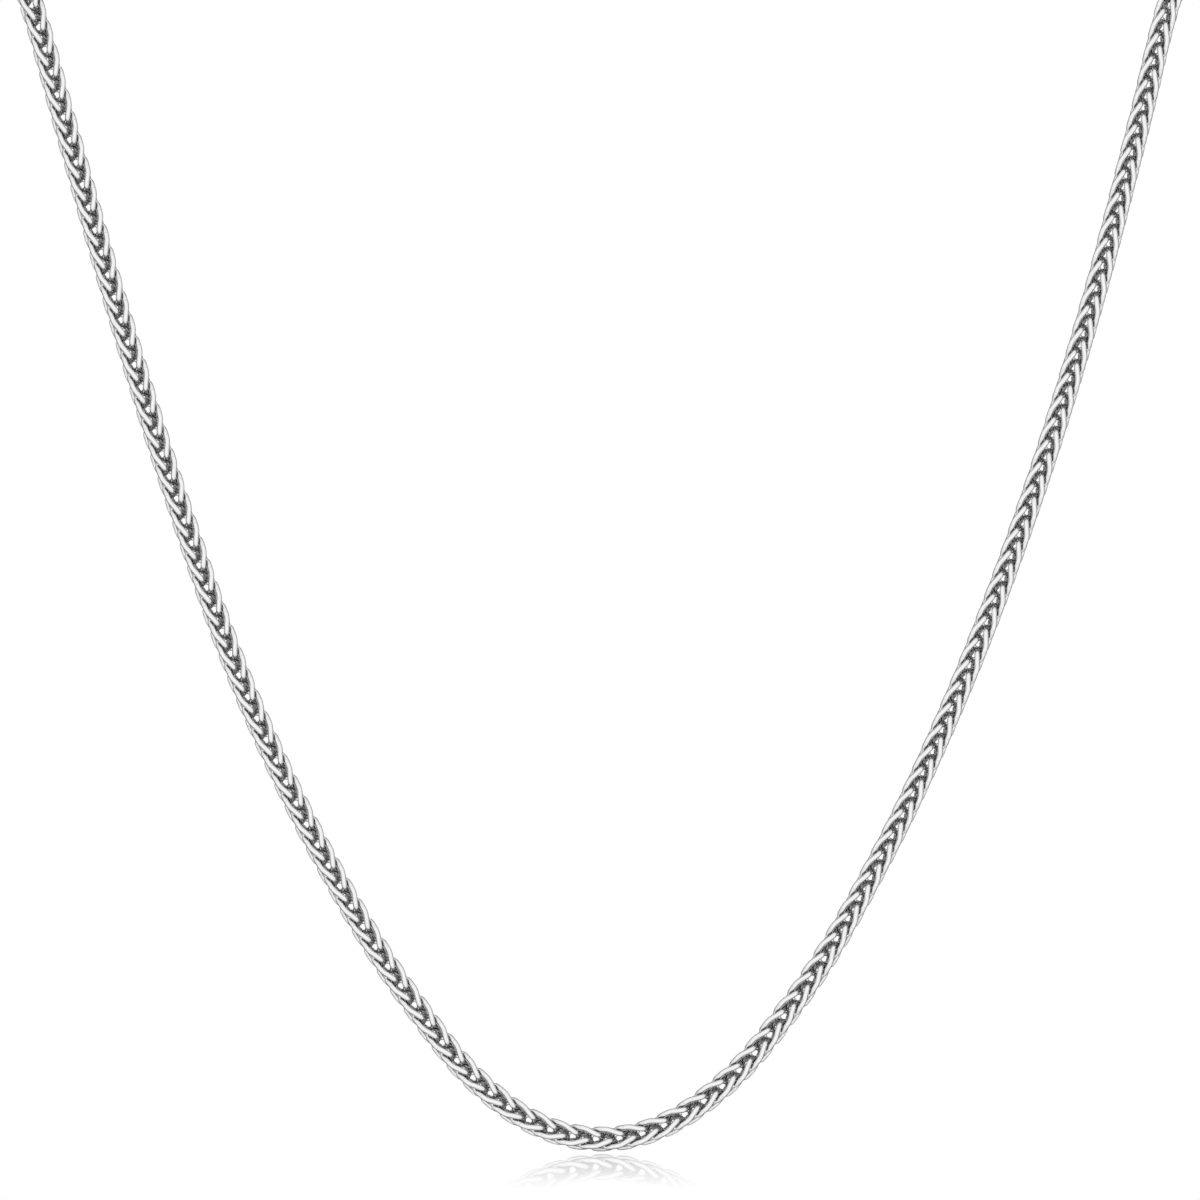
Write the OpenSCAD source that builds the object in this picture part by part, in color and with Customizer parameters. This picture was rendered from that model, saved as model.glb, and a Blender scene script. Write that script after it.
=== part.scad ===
// Wheat chain necklace in polished silver, closed round the neck.
// Millimetres. +X is the wearer's left as seen from the front, -Y the front, +Z up.
// The origin is the middle of the clasp at the nape, on the centre line of the loop.

/* [Chain] */
// Thickness of the woven chain, across the flats of its form
chain_d = 2.4; // [2:0.1:2.8]
// Longest stretch between two sections of the chain's form
section_gap = 7.2; // [6:0.2:9]

/* [End caps] */
// Length of the round body of an end cap
cap_len = 5; // [4:0.25:7]
// Wall of the cap around its bore
cap_wall = 0.3; // [0.2:0.05:0.6]
// Thickness of the cap's closed end
cap_end = 1; // [0.7:0.05:1.5]
// Bevel round the cap's closed end
cap_bevel = 0.4; // [0.2:0.05:0.6]
// Outer diameter of the loop soldered to the cap
loop_d = 3.1; // [2.8:0.05:3.6]
// Wire of that loop
loop_wire = 0.7; // [0.5:0.05:0.8]
// Depth to which the loop sinks into the cap's end
solder_depth = 0.25; // [0.15:0.05:0.4]

/* [Rings] */
// Outer diameter of the two rings at the clasp
ring_d = 4.8; // [4.5:0.1:6]
// Wire of those rings
ring_wire = 0.8; // [0.6:0.05:0.9]

/* [Clasp] */
// Length of the clasp from the rim of its eye to the tip of its claw
clasp_len = 11; // [10:0.25:14]
// Width of the claw
claw_w = 5; // [4.4:0.1:6]
// Thickness of the claw
claw_t = 2; // [1.6:0.1:2.2]
// Width of the metal round the claw's mouth
claw_bar = 1.1; // [0.8:0.05:1.2]
// Length of the mouth
mouth_len = 4.9; // [4.5:0.1:5.5]
// Width of the mouth at its narrow end
mouth_narrow_w = 1.6; // [1.3:0.1:1.8]
// Width of the waist between the claw and the eye
waist_w = 2.4; // [2:0.1:3]
// Depth to which the waist runs into the rim of the eye
waist_lap = 0.35; // [0.2:0.05:0.45]
// Hole of the eye
eye_hole = 1.8; // [1.6:0.05:2]
// Rim of metal round that hole
eye_rim = 0.6; // [0.5:0.05:0.7]
// Thickness of the eye
eye_t = 1.4; // [1:0.1:1.6]

/* [Fits] */
// Gap between two rings, loops or eyes where one hangs in the other
hang_gap = 0.1; // [0.05:0.05:0.2]
// Gap round the chain in the bore of a cap
bore_gap = 0.12; // [0.1:0.02:0.2]
// Gap between the chain's end and the bottom of that bore
seat_gap = 0.2; // [0.1:0.05:0.4]

/* [Hidden] */
$fn = 48;

silver = "#d9dadb";
chain_sides = 8;
ring_mid_r = (ring_d - ring_wire) / 2;
ring_hole_r = ring_d / 2 - ring_wire;
loop_mid_r = (loop_d - loop_wire) / 2;
chain_corner_r = chain_d / 2 / cos(180 / chain_sides);
bore_r = chain_corner_r + bore_gap;
cap_r = bore_r + cap_wall;

// Places along X of what hangs together at the nape, worked out from the clasp outwards
eye_r = eye_hole / 2 + eye_rim;
eye_x = -clasp_len / 2 + eye_r;
mouth_end_x = clasp_len / 2 - claw_bar;
jump_x = eye_x - eye_hole / 2 + hang_gap - inner_reach(eye_t);
clasp_ring_x = mouth_end_x - hang_gap + inner_reach(claw_t);
// Distance between the middles of a ring and of the loop that hangs in it
ring_to_loop = ring_mid_r + loop_mid_r - ring_wire / 2 - loop_wire / 2 - hang_gap;
left_loop_x = jump_x - ring_to_loop;
right_loop_x = clasp_ring_x + ring_to_loop;
// Distance from a loop's middle to the closed end of its cap, and on to the chain's end
loop_to_cap = loop_d / 2 - solder_depth;
loop_to_chain = loop_to_cap + cap_end + seat_gap;

// How far a ring's hole still reaches along X at the faces of a plate that it holds
function inner_reach(thickness) = sqrt(pow(ring_hole_r, 2) - pow(thickness / 2, 2));

// Route of the chain, chosen by hand. The front hangs in one upright plane,
// and both sides then run back over the shoulders and round the neck.
front_y = -69;
front_top_z = -34;
// From the cap's mouth to the top of the front, given for the right side: x, y, z
side_points = [
    [15.5, 0, 0], [26, -1.5, -0.5], [38, -7, -1.5], [48.5, -16, -3.5],
    [56.5, -27, -6.5], [61.5, -40, -10.5], [63, -53, -16], [61.5, -63, -23.5]
];
// Down the front from left to right: x, and height below the top of the front
front_points = [
    [-57, 0], [-53.6, -12], [-48.5, -30], [-42.3, -50], [-35.1, -70], [-28, -85], [-18.9, -100],
    [-12, -108.4], [-8, -111.5], [-4, -113.3], [0.2, -113.9], [4, -113.4], [8, -111.7], [12, -108.8],
    [19.6, -100], [28.5, -85], [35.5, -70], [43.1, -50], [49.3, -30], [54, -12], [57, 0]
];

last_side = len(side_points) - 1;
route = concat(
    [[left_loop_x - loop_to_chain, 0, 0]],
    [for (p = side_points) [-p.x, p.y, p.z]],
    [for (p = front_points) [p[0], front_y, front_top_z + p[1]]],
    [for (i = [0:last_side]) side_points[last_side - i]],
    [[right_loop_x + loop_to_chain, 0, 0]]
);
last_point = len(route) - 1;

// The chain's curve passes through every point, with a direction at each that
// weighs the two stretches beside it by their lengths
function stretch(i) = route[i + 1] - route[i];
function slope(i) =
    i == 0 ? stretch(0) / norm(stretch(0)) :
    i == last_point ? stretch(last_point - 1) / norm(stretch(last_point - 1)) :
    let (a = norm(stretch(i - 1)), b = norm(stretch(i)))
    (stretch(i - 1) / a * b + stretch(i) / b * a) / (a + b);
function on_curve(i, t) =
    let (a = norm(stretch(i)))
    (2 * pow(t, 3) - 3 * pow(t, 2) + 1) * route[i] + (pow(t, 3) - 2 * pow(t, 2) + t) * a * slope(i)
    + (3 * pow(t, 2) - 2 * pow(t, 3)) * route[i + 1] + (pow(t, 3) - pow(t, 2)) * a * slope(i + 1);
sections = concat(
    [for (i = [0:last_point - 1])
        let (parts = ceil(norm(stretch(i)) / section_gap))
        for (k = [0:parts - 1]) on_curve(i, k / parts)],
    [route[last_point]]
);
last_section = len(sections) - 1;

// Each section lies square to the curve. Its first direction is square to the line
// from a point inside the loop, which the curve never meets
loop_middle = [0, -40, -60];
function along(i) =
    let (d = sections[min(i + 1, last_section)] - sections[max(i - 1, 0)]) d / norm(d);
function across(i) = let (d = cross(along(i), sections[i] - loop_middle)) d / norm(d);
function section(i) =
    let (u = across(i), v = cross(along(i), u))
    [for (k = [0:chain_sides - 1])
        let (a = 360 * (k + 0.5) / chain_sides)
        sections[i] + chain_corner_r * (cos(a) * u + sin(a) * v)];

module wheat_chain() {
    n = chain_sides;
    points = [for (i = [0:last_section]) each section(i)];
    sides = [for (i = [0:last_section - 1]) for (k = [0:n - 1])
        [i * n + k, (i + 1) * n + k, (i + 1) * n + (k + 1) % n, i * n + (k + 1) % n]];
    first_end = [for (k = [0:n - 1]) k];
    second_end = [for (k = [0:n - 1]) last_section * n + n - 1 - k];
    color(silver) polyhedron(points, concat(sides, [first_end, second_end]));
}

module wire_ring(outer_d, wire) {
    rotate_extrude() translate([(outer_d - wire) / 2, 0]) circle(d = wire, $fn = 24);
}

// A cap with its loop round the origin and its mouth towards +X
module end_cap() {
    color(silver) {
        rotate([90, 0, 0]) wire_ring(loop_d, loop_wire);
        translate([loop_to_cap, 0, 0]) rotate([0, 90, 0]) rotate_extrude() polygon([
            [0, 0], [cap_r - cap_bevel, 0], [cap_r, cap_bevel], [cap_r, cap_len],
            [bore_r, cap_len], [bore_r, cap_end], [0, cap_end]
        ]);
    }
}

module end_cap_left() {
    translate([left_loop_x, 0, 0]) mirror([1, 0, 0]) end_cap();
}

module end_cap_right() {
    translate([right_loop_x, 0, 0]) end_cap();
}

module jump_ring() {
    color(silver) translate([jump_x, 0, 0]) wire_ring(ring_d, ring_wire);
}

module clasp_ring() {
    color(silver) translate([clasp_ring_x, 0, 0]) wire_ring(ring_d, ring_wire);
}

// The outline round two circles on X, with straight flanks that touch both
module drop(x1, r1, x2, r2) {
    a = acos((r2 - r1) / (x2 - x1));
    translate([x1, 0]) circle(r1);
    translate([x2, 0]) circle(r2);
    polygon([
        [x1 - r1 * cos(a), r1 * sin(a)], [x2 - r2 * cos(a), r2 * sin(a)],
        [x2 - r2 * cos(a), -r2 * sin(a)], [x1 - r1 * cos(a), -r1 * sin(a)]
    ]);
}

module plate(thickness) {
    rotate([90, 0, 0]) translate([0, 0, -thickness / 2]) linear_extrude(thickness) children();
}

module clasp() {
    claw_r = claw_w / 2;
    claw_x = clasp_len / 2 - claw_r;
    waist_r = waist_w / 2;
    waist_x = eye_x + eye_r - waist_lap + waist_r;
    narrow_r = mouth_narrow_w / 2;
    narrow_x = mouth_end_x - mouth_len + narrow_r;
    color(silver) {
        plate(claw_t) difference() {
            drop(waist_x, waist_r, claw_x, claw_r);
            drop(narrow_x, narrow_r, claw_x, claw_r - claw_bar);
        }
        plate(eye_t) difference() {
            translate([eye_x, 0]) circle(r = eye_r);
            translate([eye_x, 0]) circle(d = eye_hole);
        }
    }
}

wheat_chain();
end_cap_left();
end_cap_right();
jump_ring();
clasp_ring();
clasp();
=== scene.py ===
import bisect
import math

import bmesh
import bpy
from mathutils import Matrix, Vector


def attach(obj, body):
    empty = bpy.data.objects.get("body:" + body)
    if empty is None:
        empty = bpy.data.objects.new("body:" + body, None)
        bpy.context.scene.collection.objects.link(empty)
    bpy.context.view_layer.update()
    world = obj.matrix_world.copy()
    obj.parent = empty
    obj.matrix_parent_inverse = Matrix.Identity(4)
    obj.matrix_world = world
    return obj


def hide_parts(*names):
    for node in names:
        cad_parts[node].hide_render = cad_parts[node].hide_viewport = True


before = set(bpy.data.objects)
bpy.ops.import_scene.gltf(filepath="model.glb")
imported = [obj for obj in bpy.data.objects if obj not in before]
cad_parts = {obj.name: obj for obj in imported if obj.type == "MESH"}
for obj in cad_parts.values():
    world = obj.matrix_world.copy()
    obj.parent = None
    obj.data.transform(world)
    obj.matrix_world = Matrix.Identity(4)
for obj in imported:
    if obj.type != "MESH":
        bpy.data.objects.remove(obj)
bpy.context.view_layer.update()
print("frame loaded:", ", ".join(sorted(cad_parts)))

mm = 0.001


# Camera, straight at the V from the front

shot = {
    "middle": (0, -69, -94),  # mm, where the middle of the picture falls
    "distance": 1400,  # mm from the plane of the V
    "width": 120,  # mm of that plane across the square picture
    "sensor": 36,  # mm
    "near": 50,  # mm, the closest that it sees
}


def placeCamera():
    cameraData = bpy.data.cameras.new("productCamera")
    cameraData.sensor_width = shot["sensor"]
    cameraData.lens = shot["sensor"] * shot["distance"] / shot["width"]
    cameraData.clip_start = shot["near"] * mm
    camera = bpy.data.objects.new("productCamera", cameraData)
    x, y, z = shot["middle"]
    camera.location = Vector((x, y - shot["distance"], z)) * mm
    camera.rotation_euler = (math.radians(90), 0, 0)
    bpy.context.collection.objects.link(camera)
    bpy.context.scene.camera = camera


placeCamera()
print("camera placed")


# Route of the chain, the same points as the solid's, in mm

route = {
    "frontY": -69,  # plane of the V
    "frontTopZ": -34,  # height of the picture's top edge
    "leftEnd": (-11.1, 0, 0),
    "rightEnd": (10.4, 0, 0),
    # right side, from the mouth of the cap to the top of the front
    "sidePoints": [
        (15.5, 0, 0), (26, -1.5, -0.5), (38, -7, -1.5), (48.5, -16, -3.5),
        (56.5, -27, -6.5), (61.5, -40, -10.5), (63, -53, -16), (61.5, -63, -23.5),
    ],
    # front, across and below its top
    "frontPoints": [
        (-57, 0), (-53.6, -12), (-48.5, -30), (-42.3, -50), (-35.1, -70), (-28, -85), (-18.9, -100),
        (-12, -108.4), (-8, -111.5), (-4, -113.3), (0.2, -113.9), (4, -113.4), (8, -111.7),
        (12, -108.8), (19.6, -100), (28.5, -85), (35.5, -70), (43.1, -50), (49.3, -30), (54, -12),
        (57, 0),
    ],
    "step": 0.25,  # between two stations of the worked-out route
    # degrees that the chain is turned about itself, at shares of its length
    "roll": [(0, 6), (0.36, 7), (0.42, 8), (0.54, 8), (0.6, 3), (1, 3)],
    "grip": 0.86,  # share of its width that the chain keeps in the caps
    "gripEnd": 4.4,  # mm from each end that keep to that share
    "gripFade": 3,  # mm more until it has its full width
    "noTurn": 1e-20,  # squared length below which a change of direction counts as none
}


def ease(t):
    # from 0 to 1, level at both ends
    return t * t * (3 - 2 * t)


def smoothCurve(points, steps, closed=False):
    # cubic through the points, with slopes weighted by the stretches beside each
    count = len(points)
    last = count if closed else count - 1
    gap = [(points[(i + 1) % count] - points[i]).length for i in range(count)]
    unit = [(points[(i + 1) % count] - points[i]) / gap[i] for i in range(count)]
    slopes = []
    for i in range(count):
        before, after = gap[i - 1], gap[i]
        slopes.append((unit[i - 1] * after + unit[i] * before) / (before + after))
    if not closed:
        slopes[0] = unit[0]
        slopes[-1] = unit[-2]
    curve = []
    for i in range(last):
        ahead = (i + 1) % count
        parts = steps(gap[i])
        for k in range(parts):
            t = k / parts
            leave = (t**3 - 2 * t**2 + t) * gap[i]
            arrive = (t**3 - t**2) * gap[i]
            place = points[i] * (1 - ease(t)) + points[ahead] * ease(t)
            curve.append(place + slopes[i] * leave + slopes[ahead] * arrive)
    if not closed:
        curve.append(points[-1])
    return curve


def routePoints():
    right = [Vector(p) for p in route["sidePoints"]]
    left = [Vector((-p.x, p.y, p.z)) for p in right]
    front = [Vector((x, route["frontY"], route["frontTopZ"] + z)) for x, z in route["frontPoints"]]
    points = [Vector(route["leftEnd"])] + left + front + right[::-1] + [Vector(route["rightEnd"])]
    return [p * mm for p in points]


def carrySide(side, way, nextWay, chord):
    # double reflection, so that a side turns no more than the curve does
    length = chord.length_squared
    side = side - chord * (2 * chord.dot(side) / length)
    way = way - chord * (2 * chord.dot(way) / length)
    turn = nextWay - way
    if turn.length_squared < route["noTurn"]:
        return side
    return side - turn * (2 * turn.dot(side) / turn.length_squared)


def routeStations():
    step = route["step"] * mm
    points = smoothCurve(routePoints(), lambda gap: max(2, math.ceil(gap / step)))
    count = len(points)
    lengths = [0.0]
    for a, b in zip(points, points[1:]):
        lengths.append(lengths[-1] + (b - a).length)
    ways = [(points[min(i + 1, count - 1)] - points[max(i - 1, 0)]).normalized() for i in range(count)]
    lowest = min(range(count), key=lambda i: points[i].z)
    sides = [Vector((0, -1, 0))] * count
    for i in range(lowest, count - 1):
        sides[i + 1] = carrySide(sides[i], ways[i], ways[i + 1], points[i + 1] - points[i])
    for i in range(lowest, 0, -1):
        sides[i - 1] = carrySide(sides[i], ways[i], ways[i - 1], points[i - 1] - points[i])
    return {"points": points, "lengths": lengths, "ways": ways, "sides": sides}


stations = routeStations()
chainLength = stations["lengths"][-1]
print(f"route worked out: {chainLength / mm:.1f} mm of woven chain")


def rollAt(share):
    for (a, low), (b, high) in zip(route["roll"], route["roll"][1:]):
        if share <= b:
            return math.radians(low + (high - low) * ease((share - a) / (b - a)))
    return math.radians(route["roll"][-1][1])


def gripAt(run):
    # the last links are squeezed together to enter the caps
    inside = min(run, chainLength - run)
    t = min(max((inside - route["gripEnd"] * mm) / (route["gripFade"] * mm), 0.0), 1.0)
    return route["grip"] + (1 - route["grip"]) * ease(t)


def ontoRoute(place):
    # a point of the straight chain, which runs along +X with its front towards -Y
    run = min(max(place.x, 0.0), chainLength)
    i = min(bisect.bisect_right(stations["lengths"], run), len(stations["lengths"]) - 1)
    before, after = stations["lengths"][i - 1], stations["lengths"][i]
    t = (place.x - before) / (after - before)
    point = stations["points"][i - 1].lerp(stations["points"][i], t)
    way = stations["ways"][i - 1].lerp(stations["ways"][i], t).normalized()
    side = stations["sides"][i - 1].lerp(stations["sides"][i], t)
    side = (side - way * side.dot(way)).normalized()
    up = side.cross(way)
    roll = rollAt(run / chainLength)
    grip = gripAt(run)
    front, height = -place.y * grip, place.z * grip
    turnedHeight = height * math.cos(roll) + front * math.sin(roll)
    turnedFront = front * math.cos(roll) - height * math.sin(roll)
    return point + side * turnedFront + up * turnedHeight


# Woven links: each is an oval wire folded in two, with a loop at either end that is
# given half a twist. The next link of its kind comes out through both loops. Links of a
# second kind, the mirror image of the first, lie across them, half a stitch ahead.

weave = {
    "outerWire": 0.54,  # mm thick where the wire shows, burnished wide
    "innerWire": 0.32,  # mm thick where it lies between its neighbours
    "outerReach": 1.1,  # mm from the chain's axis, past which the wire is outer wire
    "innerReach": 0.75,  # mm from the axis, within which it is inner wire
    "stitch": 2.34,  # mm between two links of one kind
    "sides": 8,  # round the wire
    "parts": 4,  # pieces of wire between two of the points below
    "margin": 0.3,  # mm kept free at each end of the chain
    "pieces": 4,
    # half of a link, from the middle of its fold round one loop and back, in mm:
    # out from the chain's axis, to the side of the link's own plane, and ahead.
    # A computer search for the closest match found these points. They were then rounded, and ten of the
    # thirteen were moved by 0.02 to 0.14 mm.
    "half": [
        (0.00, 0.20, -0.10), (0.80, -0.10, 0.20), (0.95, 0.20, 0.42), (1.26, 0.00, 1.15),
        (1.30, -0.15, 1.95), (1.15, -0.40, 2.65), (0.88, -0.50, 3.35), (0.42, 0.25, 3.60),
        (0.62, 0.42, 2.65), (0.76, 0.24, 2.10), (0.74, 0.24, 1.15), (0.60, -0.27, 0.35),
        (0.20, -0.22, 0.20),
    ],
}


def linkPath():
    half = weave["half"]
    # the other half is the same, turned half round about the chain's axis
    whole = half + [(-out, -side, ahead) for out, side, ahead in half]
    # out lies between the chain's front and its top
    slant = math.sqrt(0.5)
    points = []
    for out, side, ahead in whole:
        points.append(Vector((ahead, -(out - side) * slant, (out + side) * slant)) * mm)
    return smoothCurve(points, lambda gap: weave["parts"], closed=True)


def wireFrames(path):
    # a turning frame for each point of a closed path
    count = len(path)
    ways = [(path[(i + 1) % count] - path[i - 1]).normalized() for i in range(count)]
    side = ways[0].orthogonal().normalized()
    frames = []
    for i in range(count):
        other = ways[i].cross(side)
        matrix = Matrix((side, other, ways[i])).transposed().to_4x4()
        matrix.translation = path[i]
        frames.append(matrix)
        ahead = (i + 1) % count
        side = carrySide(side, ways[i], ways[ahead], path[ahead] - path[i])
        side = (side - ways[ahead] * side.dot(ways[ahead])).normalized()
    return frames


def thicknessAt(place):
    reach = math.hypot(place.y, place.z) / mm
    t = (reach - weave["innerReach"]) / (weave["outerReach"] - weave["innerReach"])
    t = min(max(t, 0.0), 1.0)
    return (weave["innerWire"] + (weave["outerWire"] - weave["innerWire"]) * t) * mm


def bendWire(bm, path, sides):
    # a round wire, drawn along the path from one ring and closed on itself
    frames = wireFrames(path)
    thick = [thicknessAt(point) for point in path]
    verts = bmesh.ops.create_circle(bm, segments=sides, radius=thick[0] / 2)["verts"]
    bmesh.ops.transform(bm, matrix=frames[0], verts=verts)
    first = list({edge for vert in verts for edge in vert.link_edges})
    ring = first
    for i in range(1, len(path)):
        made = bmesh.ops.extrude_edge_only(bm, edges=ring)["geom"]
        verts = [item for item in made if isinstance(item, bmesh.types.BMVert)]
        ring = [item for item in made if isinstance(item, bmesh.types.BMEdge)]
        swell = Matrix.Scale(thick[i] / thick[i - 1], 4)
        bmesh.ops.transform(bm, matrix=frames[i] @ swell @ frames[i - 1].inverted(), verts=verts)
    bmesh.ops.bridge_loops(bm, edges=first + ring)
    bmesh.ops.recalc_face_normals(bm, faces=bm.faces)
    unwrapWire(bm, path, frames, sides)


def unwrapWire(bm, path, frames, sides):
    # the map's first value runs once along the wire, its second once round it
    count = len(path)
    runs = [0.0]
    for i in range(count):
        runs.append(runs[-1] + (path[(i + 1) % count] - path[i]).length)
    layer = bm.loops.layers.uv.new("alongWire")
    bm.verts.index_update()
    for face in bm.faces:
        rings = [loop.vert.index // sides for loop in face.loops]
        closing = max(rings) - min(rings) > 1
        turns = []
        for loop, ring in zip(face.loops, rings):
            place = frames[ring].inverted() @ loop.vert.co
            turns.append(math.atan2(place.y, place.x) / (2 * math.pi) % 1)
        split = max(turns) - min(turns) > 0.5
        for loop, ring, turn in zip(face.loops, rings, turns):
            run = runs[count] if closing and ring == 0 else runs[ring]
            loop[layer].uv = (run / runs[count], turn + 1 if split and turn < 0.5 else turn)


def finishPiece(bm, name, material):
    mesh = bpy.data.meshes.new(name)
    for face in bm.faces:
        face.smooth = True
    bm.to_mesh(mesh)
    bm.free()
    piece = bpy.data.objects.new(name, mesh)
    bpy.context.collection.objects.link(piece)
    mesh.materials.append(material)
    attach(piece, "root")
    return piece


def makeLink(mirrored):
    bm = bmesh.new()
    bendWire(bm, linkPath(), weave["sides"])
    if mirrored:
        bmesh.ops.scale(bm, vec=(1, 1, -1), verts=bm.verts)
        bmesh.ops.reverse_faces(bm, faces=bm.faces)
    mesh = bpy.data.meshes.new("oneLink")
    bm.to_mesh(mesh)
    bm.free()
    return mesh


def linkStarts():
    half = weave["stitch"] * mm / 2
    ends = (weave["margin"] + weave["outerWire"] / 2) * mm
    reach = [ahead * mm for out, side, ahead in weave["half"]]
    first = ends - min(reach)
    room = chainLength - ends - max(reach) - first
    return [first + half * k for k in range(int(room / half) + 1)]


def weaveChain(material):
    links = [makeLink(False), makeLink(True)]
    starts = linkStarts()
    perPiece = math.ceil(len(starts) / weave["pieces"])
    for part in range(weave["pieces"]):
        bm = bmesh.new()
        for k in range(part * perPiece, min((part + 1) * perPiece, len(starts))):
            before = len(bm.verts)
            bm.from_mesh(links[k % 2])
            bm.verts.ensure_lookup_table()
            bmesh.ops.translate(bm, verts=bm.verts[before:], vec=(starts[k], 0, 0))
        for vert in bm.verts:
            vert.co = ontoRoute(vert.co)
        piece = finishPiece(bm, f"woven_links_{part + 1}", material)
        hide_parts("wheat_chain")
    for link in links:
        bpy.data.meshes.remove(link)
    return len(starts)


# Materials

def linear(hexText):
    values = [int(hexText[i:i + 2], 16) / 255 for i in (1, 3, 5)]
    return tuple(v / 12.92 if v <= 0.04045 else ((v + 0.055) / 1.055) ** 2.4 for v in values) + (1,)


def addNode(tree, kind, settings=None, links=None):
    # settings give a socket or a property its value, links give a socket its source;
    # a socket that shares its name with another goes by its number
    node = tree.nodes.new(kind)
    for name, value in (settings or {}).items():
        if isinstance(name, int) or name in node.inputs:
            node.inputs[name].default_value = value
        else:
            setattr(node, name, value)
    for name, source in (links or {}).items():
        tree.links.new(source, node.inputs[name])
    return node


def newMaterial(name):
    material = bpy.data.materials.new(name)
    material.use_nodes = True
    material.node_tree.nodes.clear()
    return material, material.node_tree


silver = {
    "colour": "#DCDCDD",
    "castColour": "#CDCDCF",  # a trace darker, as the clasp is cast and only tumbled
    "solder": "#C2C2C1",
    "recessShadeColour": "#A0A0A2",  # painted shade: the colour the metal darkens to deep in the recesses
    "recessRoughness": 0.34,
    "reach": 1.0,  # how far off, in mm, a neighbour counts, both for the painted shade and for keeping the polishing cloth away
    "openFrom": 0.1,  # share of open space above a place that is still recess
    "openTo": 0.5,  # share from which it is fully polished
    "openSamples": 8,
}

# The marks of a finish are so many mm long in x, y and z, and so many mm high
finishes = {
    # turned on a lathe, so it has fine rings round the tube, which lies along x
    "cap": {"colour": silver["colour"], "marks": (0.08, 1.5, 1.5), "height": 0.0015, "roughness": 0.1},
    # wire polished on a wheel, almost a clear mirror
    "ring": {"colour": silver["colour"], "marks": (0.4, 0.4, 0.4), "height": 0.004, "roughness": 0.08},
    # cast and then tumbled, which leaves a soft gloss with shallow dents
    "clasp": {"colour": silver["castColour"], "marks": (0.5, 0.5, 0.5), "height": 0.025, "roughness": 0.26},
}

grain = {
    "detail": 3.0,
    "low": 0.3,  # values of the noise that give the least and the most roughness
    "high": 0.7,
    "spread": 0.3,  # share by which the roughness goes down and up
}

wire = {
    "length": 19.7,  # mm of wire in a link
    "round": 1.26,  # mm round the wire, on average
    # burnishing lines along the wire, wider than real ones, which are too fine to show
    "lineLength": 1.16,  # mm
    "lineWidth": 0.055,  # mm
    "lineHeight": 0.004,  # mm
    "lineStrength": 0.3,
    "lineDetail": 2.0,
    "lineShare": 0.5,  # how much the lines count beside the wear
    "wear": 2.5,  # mm, so that links differ a little in how much they were rubbed
    "wearDetail": 1.0,
    "low": 0.4,  # values of lines and wear together that give the two roughnesses
    "high": 1.1,
    "smooth": 0.04,
    "rough": 0.12,
    # a hairline of solder across the outer wire, near the start of its loop
    "seamPlace": 0.12,  # share of the wire's length
    "seamWidth": 0.05,  # mm
}


def openness(tree):
    # 1 in the open, down to 0 deep between close neighbours, by ambient occlusion; it sets the painted
    # shade of the recesses and where the cloth polishes
    hollow = addNode(tree, "ShaderNodeAmbientOcclusion",
                     {"Distance": silver["reach"] * mm, "samples": silver["openSamples"]})
    depth = addNode(tree, "ShaderNodeMapRange",
                    {"From Min": silver["openFrom"], "From Max": silver["openTo"]},
                    {"Value": hollow.outputs["AO"]})
    return depth.outputs["Result"]


def paintRecessShade(tree, depth, metal):
    # painted shade: the metal's colour is mixed towards a darker grey where neighbours close a place in
    tone = addNode(tree, "ShaderNodeMix", {"data_type": "RGBA", "A": linear(silver["recessShadeColour"])},
                   {"Factor": depth, "B": metal})
    return tone.outputs["Result"]


def wornGloss(tree, depth, gloss):
    # the unpolished wire deep in the weave is dull, so that it keeps a plain tone of its own
    rough = addNode(tree, "ShaderNodeMix", {"data_type": "FLOAT", "A": silver["recessRoughness"]},
                    {"Factor": depth, "B": gloss})
    return rough.outputs["Result"]


def solidSilver(name, finish):
    # sterling silver of a fitting, a soft mirror with the marks of its finish in it, and painted shade
    # darkening its recesses
    material, tree = newMaterial(name)
    place = addNode(tree, "ShaderNodeTexCoord")
    stretch = addNode(tree, "ShaderNodeMapping",
                      {"Scale": [1 / (size * mm) for size in finish["marks"]]},
                      {"Vector": place.outputs["Object"]})
    marks = addNode(tree, "ShaderNodeTexNoise", {"Scale": 1.0, "Detail": grain["detail"]},
                    {"Vector": stretch.outputs["Vector"]})
    gloss = addNode(tree, "ShaderNodeMapRange",
                    {"From Min": grain["low"], "From Max": grain["high"],
                     "To Min": finish["roughness"] * (1 - grain["spread"]),
                     "To Max": finish["roughness"] * (1 + grain["spread"])},
                    {"Value": marks.outputs["Fac"]})
    bump = addNode(tree, "ShaderNodeBump", {"Strength": 1.0, "Distance": finish["height"] * mm},
                   {"Height": marks.outputs["Fac"]})
    metal = addNode(tree, "ShaderNodeRGB")
    metal.outputs["Color"].default_value = linear(finish["colour"])
    surface = addNode(tree, "ShaderNodeBsdfPrincipled", {"Metallic": 1.0},
                      # the base colour carries painted shade in the recesses
                      {"Base Color": paintRecessShade(tree, openness(tree), metal.outputs["Color"]),
                       "Roughness": gloss.outputs["Result"], "Normal": bump.outputs["Normal"]})
    addNode(tree, "ShaderNodeOutputMaterial", None, {"Surface": surface.outputs["BSDF"]})
    return material


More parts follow.
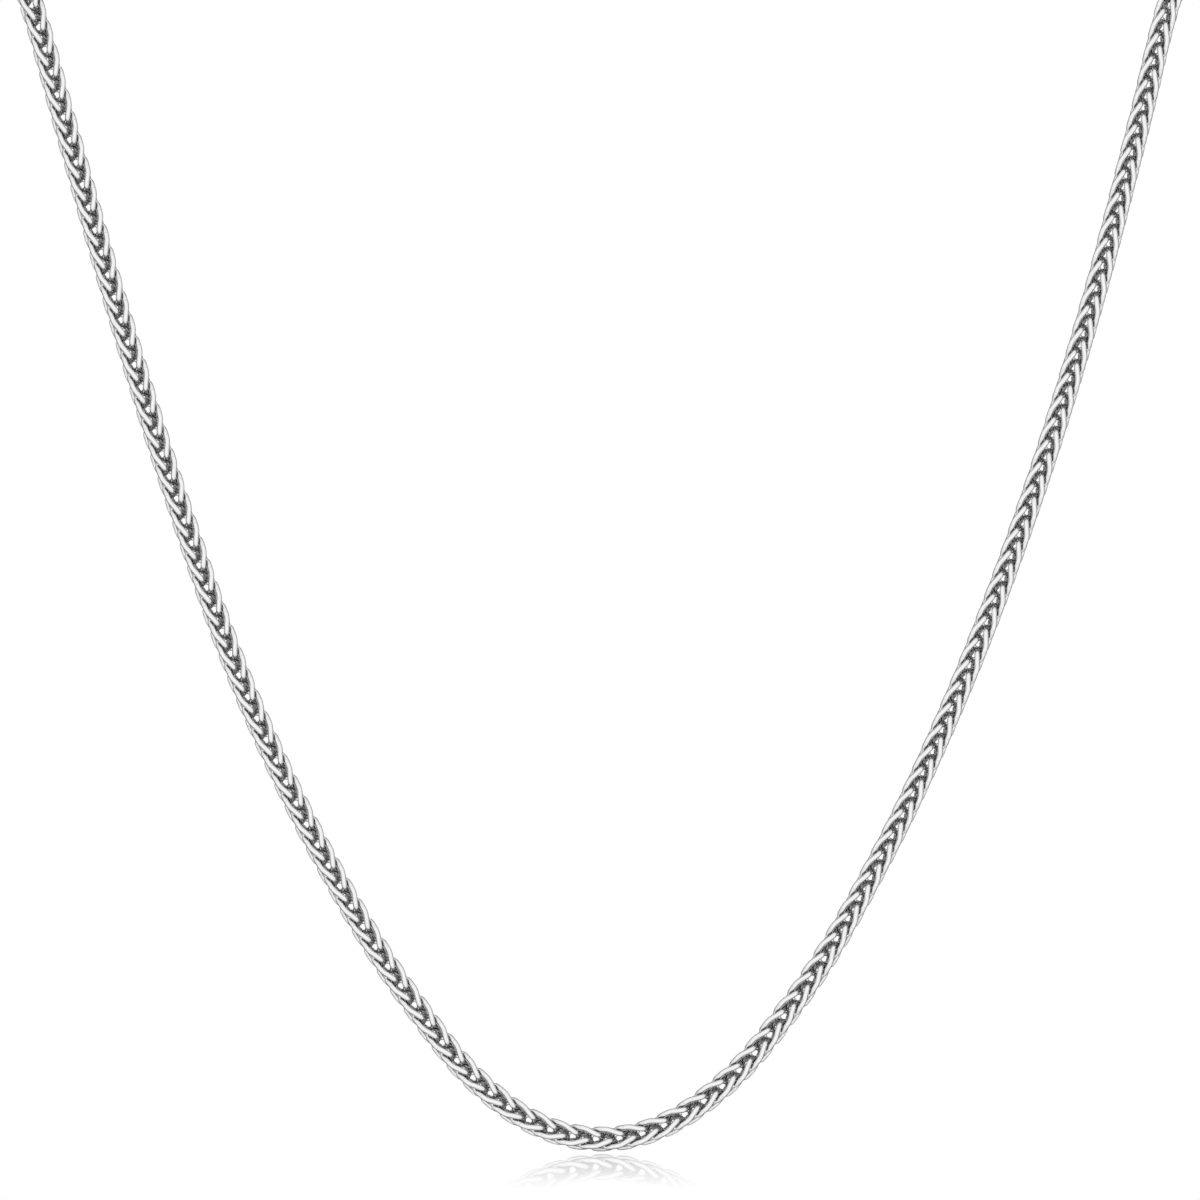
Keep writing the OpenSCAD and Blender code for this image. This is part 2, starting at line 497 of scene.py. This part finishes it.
def drawnSilver():
    # sterling silver wire, drawn and then burnished: a mirror with fine lines along the wire, a hairline
    # where its ends are soldered, and in the deep recesses a duller surface darkened with painted shade
    material, tree = newMaterial("burnishedSilverWire")
    layout = addNode(tree, "ShaderNodeUVMap", {"uv_map": "alongWire"})
    place = addNode(tree, "ShaderNodeTexCoord")
    linesAlong = wire["length"] / wire["lineLength"]
    linesRound = wire["round"] / wire["lineWidth"]
    stretch = addNode(tree, "ShaderNodeMapping", {"Scale": (linesAlong, linesRound, 1)},
                      {"Vector": layout.outputs["UV"]})
    lines = addNode(tree, "ShaderNodeTexNoise", {"Scale": 1.0, "Detail": wire["lineDetail"]},
                    {"Vector": stretch.outputs["Vector"]})
    wear = addNode(tree, "ShaderNodeTexNoise",
                   {"Scale": 1 / (wire["wear"] * mm), "Detail": wire["wearDetail"]},
                   {"Vector": place.outputs["Object"]})
    rubbed = addNode(tree, "ShaderNodeMath", {"operation": "MULTIPLY_ADD", 1: wire["lineShare"]},
                     {0: lines.outputs["Fac"], 2: wear.outputs["Fac"]})
    gloss = addNode(tree, "ShaderNodeMapRange",
                    {"From Min": wire["low"], "From Max": wire["high"],
                     "To Min": wire["smooth"], "To Max": wire["rough"]},
                    {"Value": rubbed.outputs["Value"]})
    parts = addNode(tree, "ShaderNodeSeparateXYZ", None, {"Vector": layout.outputs["UV"]})
    halfSeam = wire["seamWidth"] / 2 / wire["length"]
    seam = addNode(tree, "ShaderNodeMath", {"operation": "COMPARE", 1: wire["seamPlace"], 2: halfSeam},
                   {0: parts.outputs["X"]})
    metal = addNode(tree, "ShaderNodeMix",
                    {"data_type": "RGBA", "A": linear(silver["colour"]), "B": linear(silver["solder"])},
                    {"Factor": seam.outputs["Value"]})
    bump = addNode(tree, "ShaderNodeBump",
                   {"Strength": wire["lineStrength"], "Distance": wire["lineHeight"] * mm},
                   {"Height": lines.outputs["Fac"]})
    depth = openness(tree)
    surface = addNode(tree, "ShaderNodeBsdfPrincipled", {"Metallic": 1.0},
                      # the base colour carries painted shade in the recesses
                      {"Base Color": paintRecessShade(tree, depth, metal.outputs["Result"]),
                       "Roughness": wornGloss(tree, depth, gloss.outputs["Result"]),
                       "Normal": bump.outputs["Normal"]})
    addNode(tree, "ShaderNodeOutputMaterial", None, {"Surface": surface.outputs["BSDF"]})
    return material


wireSilver = drawnSilver()
capSilver = solidSilver("turnedSilverTube", finishes["cap"])
ringSilver = solidSilver("polishedSilverRing", finishes["ring"])
claspSilver = solidSilver("tumbledCastSilver", finishes["clasp"])
print("materials made")

linkCount = weaveChain(wireSilver)
print(f"chain woven: {linkCount} links")


# Fittings: the rings stay as they are, the caps and the clasp get the soft edges of tumbled silver

fittings = {
    "merge": 0.002,  # mm within which two corners are one
    "flat": 1,  # degrees within which two faces are one
    "sharp": 35,  # degrees of the edges that are rounded
    "segments": 4,
    "capEdge": 0.1,  # mm of rounding
    "claspEdge": 0.28,  # mm of rounding
}


def softenedCopy(nodeName, name, rounding, material):
    # the solid's own shape, with its outer edges rounded
    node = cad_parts[nodeName]
    bm = bmesh.new()
    bm.from_mesh(node.data)
    bmesh.ops.remove_doubles(bm, verts=bm.verts, dist=fittings["merge"] * mm)
    flat = math.radians(fittings["flat"])
    bmesh.ops.dissolve_limit(bm, angle_limit=flat, verts=bm.verts, edges=bm.edges)
    limit = math.radians(fittings["sharp"])
    outer = [edge for edge in bm.edges if edge.is_convex and edge.calc_face_angle(0) > limit]
    bmesh.ops.bevel(bm, geom=outer, offset=rounding * mm, offset_type="OFFSET", affect="EDGES",
                    segments=fittings["segments"], profile=0.5, material=-1)
    piece = finishPiece(bm, name, material)
    evened = piece.modifiers.new("evenFaces", "WEIGHTED_NORMAL")
    evened.mode = "FACE_AREA"
    evened.keep_sharp = True
    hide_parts(nodeName)


for nodeName in ("jump_ring", "clasp_ring"):
    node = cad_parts[nodeName]
    node.data.materials.clear()
    node.data.materials.append(ringSilver)
softenedCopy("end_cap_left", "tumbled_cap_left", fittings["capEdge"], capSilver)
softenedCopy("end_cap_right", "tumbled_cap_right", fittings["capEdge"], capSilver)
softenedCopy("clasp", "tumbled_clasp", fittings["claspEdge"], claspSilver)
print("fittings finished")


# Floor and light

studio = {
    "floorZ": -149.3,  # mm, just under the lowest link
    "floorSize": 6000,  # mm
    "mirror": 0.62,  # share of its full gloss that the floor has right under the chain
    "fade": 85,  # mm towards the camera over which that share runs out
    "glossStart": 2,  # mm behind the V, up to which the floor keeps its gloss
    "glossEnd": 10,  # mm behind the V, from which it has none
    "sheetIor": 1.49,
    # what the silver mirrors, from straight behind the camera at 0 to straight ahead of it at 1
    "tones": [
        (0.0, 1.0), (0.25, 0.86), (0.5, 0.74), (0.63, 0.4), (0.74, 0.07), (0.89, 0.07), (0.93, 0.6),
        (0.99, 0.86),
    ],
    "brightness": 1.3,
}


def whiteAcrylic():
    # white acrylic sheet, which glows evenly and mirrors only what stands close
    material, tree = newMaterial("whiteAcrylic")
    place = addNode(tree, "ShaderNodeTexCoord")
    parts = addNode(tree, "ShaderNodeSeparateXYZ", None, {"Vector": place.outputs["Object"]})
    front = route["frontY"] * mm
    near = addNode(tree, "ShaderNodeMapRange",
                   {"From Min": front - studio["fade"] * mm, "From Max": front, "To Max": studio["mirror"]},
                   {"Value": parts.outputs["Y"]})
    behind = addNode(tree, "ShaderNodeMapRange",
                     {"From Min": front + studio["glossEnd"] * mm,
                      "From Max": front + studio["glossStart"] * mm},
                     {"Value": parts.outputs["Y"]})
    gloss = addNode(tree, "ShaderNodeFresnel", {"IOR": studio["sheetIor"]})
    where = addNode(tree, "ShaderNodeMath", {"operation": "MULTIPLY"},
                    {0: near.outputs["Result"], 1: behind.outputs["Result"]})
    share = addNode(tree, "ShaderNodeMath", {"operation": "MULTIPLY"},
                    {0: where.outputs["Value"], 1: gloss.outputs["Fac"]})
    glow = addNode(tree, "ShaderNodeEmission", {"Color": (1, 1, 1, 1), "Strength": 1.0})
    mirror = addNode(tree, "ShaderNodeBsdfGlossy", {"Color": (1, 1, 1, 1), "Roughness": 0.0})
    both = addNode(tree, "ShaderNodeMixShader", None,
                   {"Fac": share.outputs["Value"], 1: glow.outputs["Emission"], 2: mirror.outputs["BSDF"]})
    addNode(tree, "ShaderNodeOutputMaterial", None, {"Surface": both.outputs["Shader"]})
    return material


def plainFloor():
    bm = bmesh.new()
    bmesh.ops.create_grid(bm, x_segments=1, y_segments=1, size=studio["floorSize"] * mm / 2)
    bmesh.ops.translate(bm, verts=bm.verts, vec=(0, 0, studio["floorZ"] * mm))
    mesh = bpy.data.meshes.new("paleFloor")
    bm.to_mesh(mesh)
    bm.free()
    floor = bpy.data.objects.new("paleFloor", mesh)
    bpy.context.collection.objects.link(floor)
    # the silver mirrors the studio all round it, as if the sheet were clear
    floor.visible_glossy = False
    floor.visible_diffuse = False
    mesh.materials.append(whiteAcrylic())


def studioLight():
    world = bpy.data.worlds.new("studio")
    world.use_nodes = True
    bpy.context.scene.world = world
    tree = world.node_tree
    tree.nodes.clear()
    place = addNode(tree, "ShaderNodeTexCoord")
    parts = addNode(tree, "ShaderNodeSeparateXYZ", None, {"Vector": place.outputs["Generated"]})
    depth = addNode(tree, "ShaderNodeMapRange", {"From Min": -1.0}, {"Value": parts.outputs["Y"]})
    tone = addNode(tree, "ShaderNodeValToRGB", None, {"Fac": depth.outputs["Result"]})
    # the ramp comes with two stops, which take the first and the last tone
    stops = tone.color_ramp.elements
    places, levels = zip(*studio["tones"])
    stops[1].position = places[-1]
    for share in places[1:-1]:
        stops.new(share)
    for stop, level in zip(stops, levels):
        stop.color = (level, level, level, 1)
    lit = addNode(tree, "ShaderNodeBackground", {"Strength": studio["brightness"]},
                  {"Color": tone.outputs["Color"]})
    seen = addNode(tree, "ShaderNodeBackground", {"Color": (1, 1, 1, 1), "Strength": 1.0})
    path = addNode(tree, "ShaderNodeLightPath")
    both = addNode(tree, "ShaderNodeMixShader", None,
                   {"Fac": path.outputs["Is Camera Ray"], 1: lit.outputs["Background"],
                    2: seen.outputs["Background"]})
    addNode(tree, "ShaderNodeOutputWorld", None, {"Surface": both.outputs["Shader"]})
    bpy.context.scene.view_settings.view_transform = "Standard"


plainFloor()
studioLight()
print("floor and light set")
